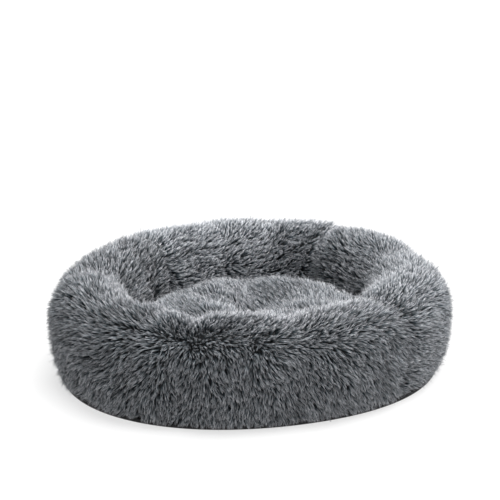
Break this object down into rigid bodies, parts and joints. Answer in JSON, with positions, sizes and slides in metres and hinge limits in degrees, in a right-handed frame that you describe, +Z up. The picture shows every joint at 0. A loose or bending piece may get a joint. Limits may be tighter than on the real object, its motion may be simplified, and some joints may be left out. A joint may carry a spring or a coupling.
{
  "type": "round plush pet bed",
  "caption": "Round bed for a cat or small dog: a stuffed plush ring around a stuffed nest cushion, on a non-slip base with a zipper.",
  "frame": {"origin": "on the floor, under the centre of the round bed", "axes": "+Z up through the centre of the nest, -Y towards the front of the bed, and the zipper runs along X under the base"},
  "size_m": [0.6, 0.6, 0.178],
  "materials": {
    "plush": "matte",
    "lining": "matte",
    "fibre_fill": "matte",
    "oxford": "matte",
    "binding": "matte",
    "thread": "satin",
    "grip_rubber": "satin",
    "label": "satin",
    "zip_tape": "matte",
    "zip_coil": "satin",
    "zip_metal": "satin"
  },
  "bodies": {
    "bed": {"bolster_panel_back": "plush", "bolster_panel_left": "plush", "bolster_panel_front": "plush", "bolster_panel_right": "plush", "bolster_lining": "lining", "bolster_fill": "fibre_fill", "nest_panel": "plush", "nest_lining": "lining", "nest_fill": "fibre_fill", "base_fabric_front": "oxford", "base_fabric_back": "oxford", "base_binding": "binding", "binding_stitches": "thread", "grip_dots": "grip_rubber", "care_label": "label", "zipper_tape_front": "zip_tape", "zipper_tape_back": "zip_tape", "zipper_coil_front": "zip_coil", "zipper_coil_back": "zip_coil", "zipper_stops": "zip_metal", "zipper_stitches": "thread"},
    "slider": {"zipper_slider": "zip_metal"},
    "puller": {"zipper_puller": "zip_metal"}
  },
  "joints": [
    {"name": "slider_run", "type": "slide", "parent": "bed", "child": "slider", "axis": [1, 0, 0], "range_m": [-0.366, 0]},
    {"name": "puller_hinge", "type": "hinge", "parent": "slider", "child": "puller", "pos_m": [0.184, 0, 0.0032], "axis": [0, -1, 0], "range_deg": [-9, 170]}
  ]
}
